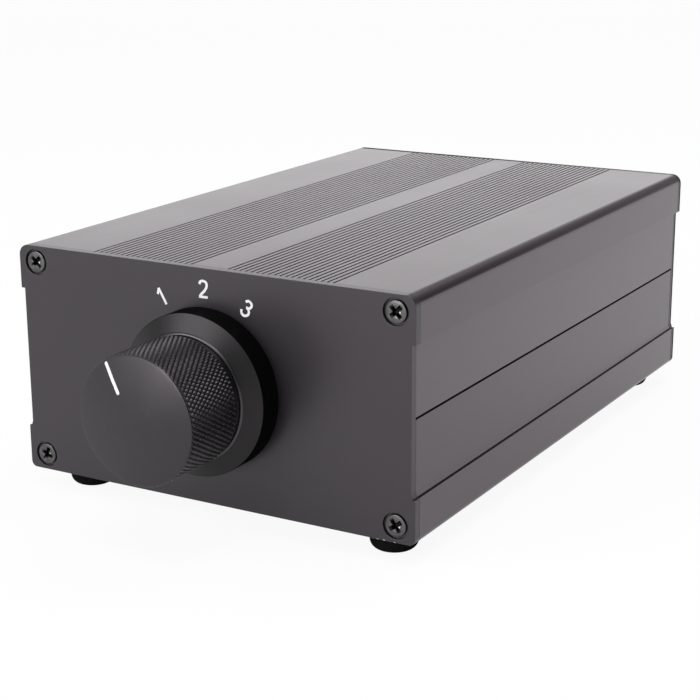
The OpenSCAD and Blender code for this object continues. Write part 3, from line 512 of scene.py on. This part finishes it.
# case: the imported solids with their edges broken
caseEdges = {
    "top_shell": ("topShell", "black_anodised", 0.08),
    "bottom_shell": ("bottomShell", "black_anodised", 0.12),
    "front_panel": ("frontPanel", "panel_black", 0.14),
    "rear_panel": ("rearPanel", "panel_black", 0.14),
}
shellEnds = {"width": 0.25, "sharp": 0.5}  # mm, and the least angle in radians
coveShape = {"side": 51.5, "band": 15.8, "rise": 1.1, "reach": 0.35, "top": 0.15, "bottom": -0.2,
             "deep": -0.6, "mouth": -0.1, "half": 0.1, "tall": 0.32, "slack": 0.02}


# the groove over the lower band becomes a cove with a narrow drop
def coverGroove(piece, shape):
    mesh = bmesh.new()
    mesh.from_mesh(piece.data)
    for vert in mesh.verts:
        out = abs(vert.co.x) / mm - shape["side"]
        up = vert.co.z / mm - shape["band"]
        if not shape["deep"] <= out <= shape["slack"] or not -shape["slack"] <= up <= shape["tall"]:
            continue
        if out > shape["mouth"]:
            vert.co.z = (shape["band"] + shape["rise"]) * mm
        else:
            vert.co.x = math.copysign((shape["side"] + shape["reach"]) * mm, vert.co.x)
            vert.co.z = (shape["band"] + shape["top" if up > shape["half"] else "bottom"]) * mm
    mesh.to_mesh(piece.data)
    mesh.free()


def softenEnds(piece, shape):
    low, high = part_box("top_shell")
    mesh = bmesh.new()
    mesh.from_mesh(piece.data)
    weight = mesh.edges.layers.float.new("bevel_weight_edge")
    for edge in mesh.edges:
        for end in (low.y, high.y):
            atEnd = all(abs(v.co.y - end) < touchGap for v in edge.verts)
            if atEnd and edge.calc_face_angle(0) > shape["sharp"]:
                edge[weight] = 1
    mesh.to_mesh(piece.data)
    mesh.free()
    applyModifier(piece, "BEVEL", width=shape["width"] * mm, segments=2, limit_method="WEIGHT")


for node, (name, slot, width) in caseEdges.items():
    casePiece = nodeCopy(node, name)
    if node != "top_shell":
        coverGroove(casePiece, coveShape)
    if "shell" in node:
        softenEnds(casePiece, shellEnds)
    softenEdges(casePiece, width, 3 if "panel" in node else 2)
    finishPiece(casePiece, slot, stands=[node], smooth=40)
print("case pieces softened")


# feet: moulded domes with a glued flat
footShape = {"radius": 5.5, "round": 2.2, "collar": 0.25, "flat": (0.12, 0.02), "sole": 0.6,
             "shifts": [(-0.1, 1.0), (0.35, 0), (0.35, 0), (0.35, 0)]}  # mm right and back of the solid


def makeFeet(shape):
    low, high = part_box("rubber_feet")
    radius, height = shape["radius"], high.z / mm
    inner = radius - shape["round"]
    profile = [(radius - shape["flat"][0], height - shape["flat"][1]), (radius, height - shape["collar"])]
    profile += roundedCorner(inner, shape["round"], shape["round"], 0, -90, 10)
    profile += [(inner - shape["sole"], 0.0)]
    foot = turned("foot", profile, 64)
    inset = radius * mm
    feet = []
    spots = [(x, y) for x in (low.x + inset, high.x - inset) for y in (low.y + inset, high.y - inset)]
    for (x, y), (right, back) in zip(spots, shape["shifts"]):
        feet.append(ownCopy(foot, "foot"))
        settle(feet[-1], Matrix.Translation((x + right * mm, y + back * mm, 0)))
    bpy.data.objects.remove(foot)
    finishPiece(joinPieces(feet, "rubberFeet"), "foot_rubber", stands=["rubber_feet"])


makeFeet(footShape)
print("feet made")


# seat of the knob: a turned ring with a sloped face and a thin lip
seatShape = {"radius": 18.7, "side": 6.0, "lip": 14.75, "valley": 8.0, "rise": 14.66, "shoulder": 8.24,
             "crest": 14.38, "mouth": 14.15, "top": 8.4, "floor": 1.5, "hole": 4.65, "edge": 0.08}


def makeSeat(shape):
    hole, radius, mouth, top = (shape[k] for k in ("hole", "radius", "mouth", "top"))
    profile = [(hole, 0.0), (radius, 0.0), (radius, shape["side"]), (shape["lip"], shape["valley"]),
               (shape["rise"], shape["shoulder"]), (shape["crest"], top), (mouth, top),
               (mouth, shape["floor"]), (hole, shape["floor"]), (hole, 0.0)]
    seat = turned("knobSeat", profile, 160, solid=False)
    softenEdges(seat, shape["edge"], 3, 20)
    settle(seat, onFront(0, axisZ))
    finishPiece(seat, "seat_black", stands=["knob_seat"], smooth=25)


makeSeat(seatShape)
print("seat made")


# knob: a diamond knurl is drawn on a tube, then the face, neck and back grow from its two ends
gripShape = {"columns": 80, "rows": 8, "back": 10.4, "front": 26.6, "root": 14.4,
             "inset": 0.4, "tooth": 0.37, "round": 0.08, "sharp": 20,
             "taper": 0.6, "rim": 14.5, "slack": 0.02,
             "edge": [(14.5, 26.74), (14.42, 26.86), (14.25, 26.91)],
             "faceRim": 14.3, "faceReach": 26.9, "dome": 1.2,
             "faceRings": (13.7, 12.4, 10.8, 9, 7, 5, 3, 1.2),
             "neck": 14.1, "step": 0.2, "heel": 6.1, "heelEdge": 0.25,
             "recess": (11.5, 6.5, 2.0),  # two radii and a depth
             "bore": 3.05, "boreDepth": 14.0, "pole": 0.3}


def selectRim(piece, reach):
    mesh = bmesh.from_edit_mesh(piece.data)
    bpy.ops.mesh.select_all(action="DESELECT")
    for edge in mesh.edges:
        edge.select_set(edge.is_boundary and all(abs(v.co.z - reach * mm) < touchGap for v in edge.verts))
    mesh.select_flush_mode()
    bmesh.update_edit_mesh(piece.data)


# brings points of the tube to one radius
def gather(piece, radius, wanted):
    mesh = bmesh.from_edit_mesh(piece.data)
    for vert in mesh.verts:
        if wanted(vert):
            ratio = radius * mm / vert.co.xy.length
            vert.co.x *= ratio
            vert.co.y *= ratio
    bmesh.update_edit_mesh(piece.data)


def closeRim(piece, reach, profile):
    selectRim(piece, reach)
    radius, start = profile[0]
    bpy.ops.mesh.extrude_region_move(TRANSFORM_OT_translate={"value": (0, 0, (start - reach) * mm)})
    gather(piece, radius, lambda vert: vert.select)
    growRing(profile)
    bpy.ops.mesh.merge(type="CENTER")


def cutTube(reach, side, clear):
    bpy.ops.mesh.select_all(action="SELECT")
    bpy.ops.mesh.bisect(plane_co=(0, 0, reach * mm), plane_no=(0, 0, side), clear_outer=clear,
                        threshold=cutGap)


def knurlTube(shape):
    cell = (shape["front"] - shape["back"]) / shape["rows"]
    start = shape["back"] - cell
    rings = [(shape["root"], start + cell * i) for i in range(shape["rows"] + 3)]
    knob = turned("knobGrip", rings, shape["columns"], solid=False)
    editAll(knob)
    bpy.ops.mesh.poke()
    # without its square edges the poked tube is all diamonds
    bpy.ops.mesh.select_mode(type="EDGE")
    bpy.ops.mesh.select_all(action="DESELECT")
    mesh = bmesh.from_edit_mesh(knob.data)
    for edge in mesh.edges:
        rise = abs(edge.verts[0].co.z - edge.verts[1].co.z)
        slanted = 0.1 < rise / (cell * mm) < 0.9
        edge.select_set(not edge.is_boundary and not slanted)
    bmesh.update_edit_mesh(knob.data)
    bpy.ops.mesh.dissolve_edges(use_verts=False)
    bpy.ops.mesh.select_mode(type="FACE")
    bpy.ops.mesh.select_face_by_sides(number=4, type="EQUAL", extend=False)
    bpy.ops.mesh.inset(thickness=shape["inset"] * mm, depth=shape["tooth"] * mm, use_individual=True,
                       use_even_offset=True)
    bpy.ops.mesh.select_mode(type="EDGE")
    bpy.ops.mesh.select_all(action="DESELECT")
    bpy.ops.mesh.edges_select_sharp(sharpness=math.radians(shape["sharp"]))
    bpy.ops.mesh.bevel(offset=shape["round"] * mm, segments=1, affect="EDGES", clamp_overlap=True)
    cutTube(shape["back"], -1, True)
    cutTube(shape["front"], 1, True)
    cutTube(shape["front"] - shape["taper"], 1, False)
    return knob


def makeKnob(shape):
    knob = knurlTube(shape)
    front, rim = (shape["front"] - shape["slack"]) * mm, shape["rim"]
    gather(knob, rim, lambda vert: vert.co.z > front and vert.co.xy.length > rim * mm)
    sphere = (shape["faceRim"] ** 2 + shape["dome"] ** 2) / (2 * shape["dome"])
    tip = shape["faceReach"] + shape["dome"]
    face = [(r, tip - sphere + math.sqrt(sphere ** 2 - r ** 2)) for r in shape["faceRings"]]
    closeRim(knob, shape["front"], [*shape["edge"], *face, (shape["pole"], tip)])
    neck, heel, edge, bore = shape["neck"], shape["heel"], shape["heelEdge"], shape["bore"]
    outer, inner, deep = shape["recess"]
    end = heel + shape["boreDepth"]
    back = [(neck, shape["back"] - shape["step"]), (neck, heel + edge), (neck - edge, heel), (outer, heel),
            (outer, heel + deep), (inner, heel + deep), (inner, heel), (bore, heel), (bore, end),
            (shape["pole"], end)]
    closeRim(knob, shape["back"], back)
    bpy.ops.mesh.select_all(action="SELECT")
    bpy.ops.mesh.normals_make_consistent(inside=False)
    clearSelection()
    return knob


# slot for the white line and hole for the grub screw, both cut at their angle round the axis
slotShape = {"width": 0.82, "inner": 6.95, "outer": 13.65, "floor": 26.2, "tall": 3.0, "angle": -30.0,
             "gap": 0.02}
grubShape = {"radius": 1.55, "inner": 3.0, "outer": 17.0, "reach": 9.95, "angle": -210.0}


def makeSlotCutter(shape, gap):
    clearSelection()
    middle = shape["floor"] + shape["tall"] / 2
    bpy.ops.mesh.primitive_cylinder_add(vertices=32, radius=(shape["width"] / 2 + gap) * mm,
                                        depth=shape["tall"] * mm,
                                        location=(0, shape["inner"] * mm, middle * mm))
    cutter = bpy.context.object
    settle(cutter)
    selectVerts(cutter, lambda co: co.y > shape["inner"] * mm + touchGap)
    bpy.ops.transform.translate(value=(0, (shape["outer"] - shape["inner"]) * mm, 0))
    clearSelection()
    settle(cutter, spun(-shape["angle"]))
    return cutter


def makeGrubCutter(shape):
    clearSelection()
    middle = (shape["inner"] + shape["outer"]) / 2
    bpy.ops.mesh.primitive_cylinder_add(vertices=48, radius=shape["radius"] * mm,
                                        depth=(shape["outer"] - shape["inner"]) * mm,
                                        rotation=(math.pi / 2, 0, 0),
                                        location=(0, middle * mm, shape["reach"] * mm))
    cutter = bpy.context.object
    settle(cutter)
    settle(cutter, spun(-shape["angle"]))
    return cutter


knobGrip = makeKnob(gripShape)
pointerLine = makeSlotCutter(slotShape, 0)
pointerLine.name = pointerLine.data.name = "pointerLine"
combine(pointerLine, knobGrip, "INTERSECT")
settle(pointerLine, onFront(0, axisZ))
finishPiece(pointerLine, "white_paint", "selector", ["knob_pointer"])
cutAway(knobGrip, makeSlotCutter(slotShape, slotShape["gap"]))
cutAway(knobGrip, makeGrubCutter(grubShape))
settle(knobGrip, onFront(0, axisZ))
finishPiece(knobGrip, "knob_black", "selector", ["knob"], smooth=24)
print("knob made:", len(knobGrip.data.polygons), "faces")


# screws: countersunk on the panels and round headed at the jacks, all with a tapered cross
crossShape = {"width": 1.15, "length": 4.1, "depth": 1.2, "above": 0.4, "taper": (0.55, 0.35, 1),
              "edge": 0.035, "turns": (66, 45, 36, 43)}
panelScrewShape = {"head": screwHead, "thread": 1.5, "tip": 0.4, "length": 10.0, "land": 0.7, "sunk": 0.07,
                   "edge": 0.1, "crown": (1.0, 0.04)}
jackScrewShape = {"head": 2.8, "thread": 1.5, "tip": 0.4, "length": 8.0, "side": 0.9, "round": 1.0,
                  "top": 1.95}


def crossArm(shape, turn, top):
    clearSelection()
    middle = top + (shape["above"] - shape["depth"]) / 2
    bpy.ops.mesh.primitive_cube_add(size=1, location=(0, 0, middle * mm))
    arm = bpy.context.object
    arm.scale = (shape["width"] * mm, shape["length"] * mm, (shape["depth"] + shape["above"]) * mm)
    settle(arm)
    selectVerts(arm, lambda co: co.z < middle * mm)
    bpy.ops.transform.resize(value=shape["taper"], center_override=(0, 0, 0))
    clearSelection()
    settle(arm, spun(turn))
    return arm


def makeScrew(name, profile, top):
    screw = turned(name, profile, 48)
    for turn in (0, 90):
        cutAway(screw, crossArm(crossShape, turn, top))
    softenEdges(screw, crossShape["edge"], 2, 35)
    return screw


def placeScrews(screw, name, node, spots, place):
    made = []
    for (x, z), turn in zip(spots, crossShape["turns"]):
        made.append(ownCopy(screw, name))
        settle(made[-1], place(x, z) @ spun(turn))
    finishPiece(joinPieces(made, name), "black_steel", stands=[node], smooth=35)


def makePanelScrews(shape):
    head, thread, top = shape["head"], shape["thread"], -shape["sunk"]
    end, land, edge = top - shape["length"], top - shape["land"], shape["edge"]
    inward, proud = shape["crown"]
    profile = [(thread - shape["tip"], end), (thread, end + shape["tip"]), (thread, land - head + thread),
               (head, land), (head, top - edge), (head - edge, top), (head - inward, top + proud)]
    screw = makeScrew("panelScrew", profile, top)
    inset = head * mm
    spots = [(x, z) for x in (screwLow.x + inset, screwHigh.x - inset)
             for z in (screwLow.z + inset, screwHigh.z - inset)]
    placeScrews(screw, "frontScrews", "front_panel_screws", spots, onFront)
    placeScrews(screw, "rearScrews", "rear_panel_screws", spots, onRear)
    bpy.data.objects.remove(screw)


def makeJackScrews(shape):
    head, thread, tip, size = shape["head"], shape["thread"], shape["tip"], shape["round"]
    profile = [(thread - tip, -shape["length"]), (thread, tip - shape["length"]), (thread, 0.0),
               (head, 0.0), (head, shape["side"]), *roundedCorner(head - size, size, size, 0, 70, 5)]
    screw = makeScrew("jackScrew", profile, shape["top"])
    low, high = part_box("jack_block_screws")
    middle = (low.z + high.z) / 2
    inset = head * mm
    spots = [(low.x + inset, middle), (high.x - inset, middle)]
    placeScrews(screw, "jackScrews", "jack_block_screws", spots, onRear)
    bpy.data.objects.remove(screw)


makePanelScrews(panelScrewShape)
makeJackScrews(jackScrewShape)
print("screws made")


# numerals of the dial: ribbons along stroke curves, a little thicker than ink
dialShape = {"radius": 22.6, "shift": (-0.4, 0.2), "stroke": 0.59, "thick": 0.03,
             "turns": {"1": -30, "2": 0, "3": 30}}
dialStrokes = {
    "1": [[(-0.78, 0.95), (-0.3, 1.4), (0.2, 1.98)],
          [(0.2, 2.05), (0.2, -2.05)]],
    "2": [[(-1.0, 1.0), (-0.72, 1.6), (0.02, 1.82), (0.78, 1.5), (0.92, 0.8), (0.35, -0.3), (-0.55, -1.2),
           (-1.0, -1.78)],
          [(-1.2, -1.8), (1.12, -1.8)]],
    "3": [[(-0.88, 1.2), (-0.55, 1.68), (0.05, 1.82), (0.68, 1.52), (0.82, 0.95), (0.45, 0.35),
           (-0.25, 0.18)],
          [(-0.1, 0.2), (0.6, -0.05), (0.98, -0.75), (0.65, -1.52), (0.0, -1.82), (-0.68, -1.55),
           (-1.0, -0.9)]],
}


def makeStroke(points, width):
    clearSelection()
    bpy.ops.curve.primitive_bezier_curve_add()
    stroke = bpy.context.object
    line = stroke.data.splines[0]
    line.bezier_points.add(len(points) - 2)
    for knot, (u, v) in zip(line.bezier_points, points):
        knot.co = (u * mm, v * mm, 0)
        knot.handle_left_type = knot.handle_right_type = "AUTO" if len(points) > 2 else "VECTOR"
        knot.tilt = math.pi / 2
    stroke.data.dimensions = "3D"
    stroke.data.twist_mode = "Z_UP"
    stroke.data.resolution_u = 10
    stroke.data.extrude = width / 2 * mm
    bpy.ops.object.convert(target="MESH")
    return bpy.context.object


def makeNumerals(shape, strokes):
    numerals = []
    x, z = shape["shift"]
    middle = Matrix.Translation((x * mm, frontY, axisZ + z * mm))
    for numeral, lines in strokes.items():
        outward = Matrix.Translation((0, 0, shape["radius"] * mm))
        place = middle @ spun(shape["turns"][numeral], "Y") @ outward
        pieces = []
        for points in lines:
            stroke = makeStroke(points, shape["stroke"])
            settle(stroke, place @ spun(90, "X"))
            applyModifier(stroke, "SOLIDIFY", thickness=shape["thick"] * mm, offset=0)
            pieces.append(stroke)
        combine(pieces[0], pieces[1], "UNION")
        bpy.data.objects.remove(pieces[1])
        numerals.append(pieces[0])
    finishPiece(joinPieces(numerals, "dialNumerals"), "white_paint")


makeNumerals(dialShape, dialStrokes)
print("numerals made")


# jacks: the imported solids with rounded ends
jackEdges = {
    "jack_sleeves": ("jackSleeves", "gold_plated", 0.1),
    "jack_inserts_white": ("whiteInserts", "insert_white", 0.12),
    "jack_inserts_red": ("redInserts", "insert_red", 0.12),
    "jack_contacts": ("jackContacts", "gold_plated", 0.05),
    "jack_block_left": ("jackHousingLeft", "jack_plastic", 0.1),
    "jack_block_right": ("jackHousingRight", "jack_plastic", 0.1),
}
for node, (name, slot, width) in jackEdges.items():
    jackPiece = nodeCopy(node, name)
    softenEdges(jackPiece, width, 2, 40)
    finishPiece(jackPiece, slot, stands=[node], smooth=35)
print("jacks made")


# studio: a pale floor, and a soft white surround that fades to grey overhead and on the right; in
# reflections the floor's glow is painted fainter toward the front, a painted gradient of light
floorSetup = {"size": 12.0, "colour": (0.82, 0.82, 0.82), "whiteShare": 0.93,
              "paintedGlowFrom": (-0.02, 0.34), "paintedGlowTo": (0.2, 1.0)}  # Y, and how white it is in reflections
worldSetup = {"strength": 0.95, "low": 0.05, "high": 0.36, "overhead": 0.35,
              "darkSide": (1, 0, 0), "sideFrom": 0.05, "sideTo": 0.5, "dark": 0.2,
              "darkFrom": 0.02, "darkTo": 0.12}
softboxes = {  # place, target, size and power
    "keySoftbox": ((-0.57, -1.04, 0.88), (0, 0, 0.03), (1.0, 1.0), 13),
    "topSoftbox": ((0.28, 0.46, 1.12), (0, 0, 0.03), (0.9, 0.7), 6.5),
    "backSoftbox": ((-0.85, 1.4, 0.38), (0, 0, 0.06), (1.4, 0.5), 2.6),
    "overheadSoftbox": ((0.275, -0.37, 1.21), (0, -0.08, 0.03), (0.5, 0.5), 5),
    "frontSoftbox": ((-0.38, -1.4, 0.12), (0, -0.08, 0.03), (0.6, 0.2), 3.4),
}
white = (1, 1, 1, 1)


def makeFloor(setup):
    clearSelection()
    bpy.ops.mesh.primitive_plane_add(size=setup["size"])
    floor = bpy.context.object
    floor.name = "studioFloor"
    material = bpy.data.materials.new("studioFloor")
    material.use_nodes = True
    tree = material.node_tree
    tree.nodes.clear()
    paint = Wire(tree)
    seen = paint.node("LightPath", {}, {}, "Is Camera Ray")
    mirrored = (paint.node("LightPath", {}, {}, "Is Glossy Ray")
                + paint.node("LightPath", {}, {}, "Is Transmission Ray"))
    matt = paint.node("BsdfDiffuse", {}, {"Color": (*setup["colour"], 1)})
    glow = paint.node("Emission", {}, {"Color": white, "Strength": 1.0})
    deep = axes(paint.node("TexCoord", {}, {}, "Object"))[1]
    (start, first), (end, last) = setup["paintedGlowFrom"], setup["paintedGlowTo"]
    # painted light: in reflections the floor glows less toward the front
    share = seen * setup["whiteShare"] + mirrored * fade(deep, start, end, first, last)
    mixed = paint.node("MixShader", {}, {0: share, 1: matt, 2: glow})
    mixed.feed(tree.nodes.new("ShaderNodeOutputMaterial"), "Surface")
    floor.data.materials.append(material)


def makeWorld(setup):
    world = bpy.data.worlds.new("studioWorld")
    bpy.context.scene.world = world
    world.use_nodes = True
    tree = world.node_tree
    tree.nodes.clear()
    sky = Wire(tree)
    seen = sky.node("LightPath", {}, {}, "Is Camera Ray")
    direction = sky.node("TexCoord", {}, {}, "Generated")
    height = axes(direction)[2]
    grey = fade(height, setup["low"], setup["high"], 1.0, setup["overhead"])
    sides = {0: direction, 1: setup["darkSide"]}
    aside = sky.node("VectorMath", {"operation": "DOT_PRODUCT"}, sides, "Value")
    dim = fade(aside, setup["sideFrom"], setup["sideTo"], 1.0, setup["dark"])
    shade = 1 - (1 - dim) * fade(height, setup["darkFrom"], setup["darkTo"])
    around = sky.node("Background", {}, {"Color": white, "Strength": grey * shade * setup["strength"]})
    backdrop = sky.node("Background", {}, {"Color": white, "Strength": 1.0})
    mixed = sky.node("MixShader", {}, {0: seen, 1: around, 2: backdrop})
    mixed.feed(tree.nodes.new("ShaderNodeOutputWorld"), "Surface")


def addSoftbox(name, place, target, size, power):
    clearSelection()
    bpy.ops.object.light_add(type="AREA", location=place)
    lamp = bpy.context.object
    lamp.name = name
    lamp.data.shape = "RECTANGLE"
    lamp.data.size, lamp.data.size_y = size
    lamp.data.energy = power
    lamp.rotation_euler = (Vector(target) - Vector(place)).to_track_quat("-Z", "Y").to_euler()


makeFloor(floorSetup)
makeWorld(worldSetup)
for lampName, lampSetup in softboxes.items():
    addSoftbox(lampName, *lampSetup)
bpy.context.scene.view_settings.view_transform = "Standard"
print("studio lit")
